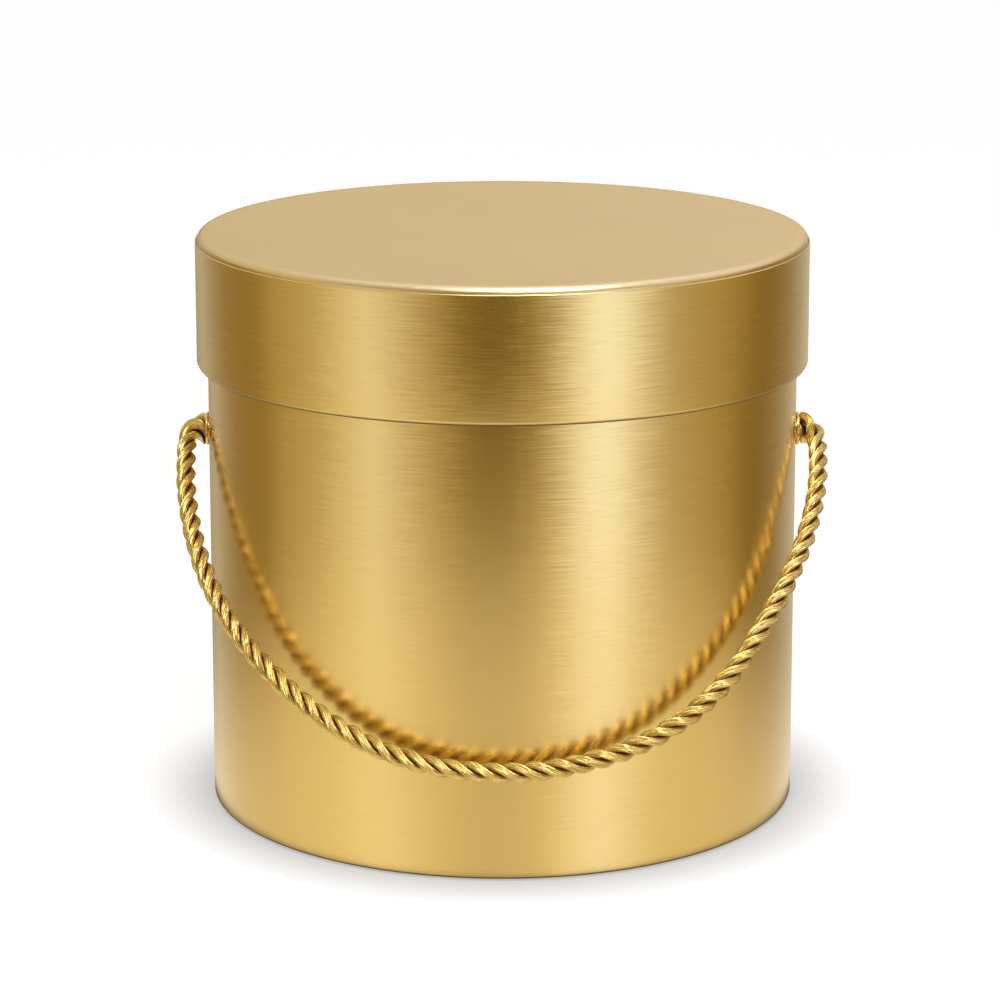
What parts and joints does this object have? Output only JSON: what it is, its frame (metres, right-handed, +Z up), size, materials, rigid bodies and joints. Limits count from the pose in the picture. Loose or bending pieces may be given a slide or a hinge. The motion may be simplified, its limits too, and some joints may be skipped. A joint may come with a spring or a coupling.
{
  "type": "round flower box",
  "caption": "Round rigid box with a deep lift-off lid and a twisted cord handle, for flowers or gifts. The handle swings on side eyelets.",
  "frame": {"origin": "middle of the underside, on the surface that the box stands on", "axes": "+Z up along the box's axis, front towards -Y, the eyelets' common axis along X"},
  "size_m": [0.2128, 0.2046, 0.1885],
  "materials": {
    "greyboard": "matt grey recycled board",
    "gold_foil": "satin brushed gold foil on paper, brushed round the box",
    "lining_paper": "matt uncoated cream paper",
    "eyelet_brass": "polished",
    "satin_cord": "three-strand twisted satin cord",
    "binding_tape": "thin glossy tape wound round the cord's end"
  },
  "bodies": {
    "base": {"body_board": "greyboard", "floor_board": "greyboard", "body_foil_wrap": "gold_foil", "underside_paper": "lining_paper", "body_wall_lining": "lining_paper", "floor_lining": "lining_paper", "eyelet_left": "eyelet_brass", "eyelet_right": "eyelet_brass", "eyelet_washer_left": "eyelet_brass", "eyelet_washer_right": "eyelet_brass"},
    "lid": {"lid_band_board": "greyboard", "lid_top_board": "greyboard", "lid_top_foil_wrap": "gold_foil", "lid_band_foil_wrap": "gold_foil", "lid_top_lining": "lining_paper", "lid_wall_lining": "lining_paper"},
    "handle": {"cord_handle": "satin_cord", "cord_knot_left": "satin_cord", "cord_knot_right": "satin_cord", "cord_tip_left": "binding_tape", "cord_tip_right": "binding_tape"}
  },
  "joints": [
    {"name": "lid_lift", "type": "slide", "parent": "base", "child": "lid", "axis": [0, 0, 1], "range_m": [0, 0.12]},
    {"name": "handle_swing", "type": "hinge", "parent": "base", "child": "handle", "pos_m": [0, 0, 0.122], "axis": [-1, 0, 0], "range_deg": [-1, 70]}
  ]
}
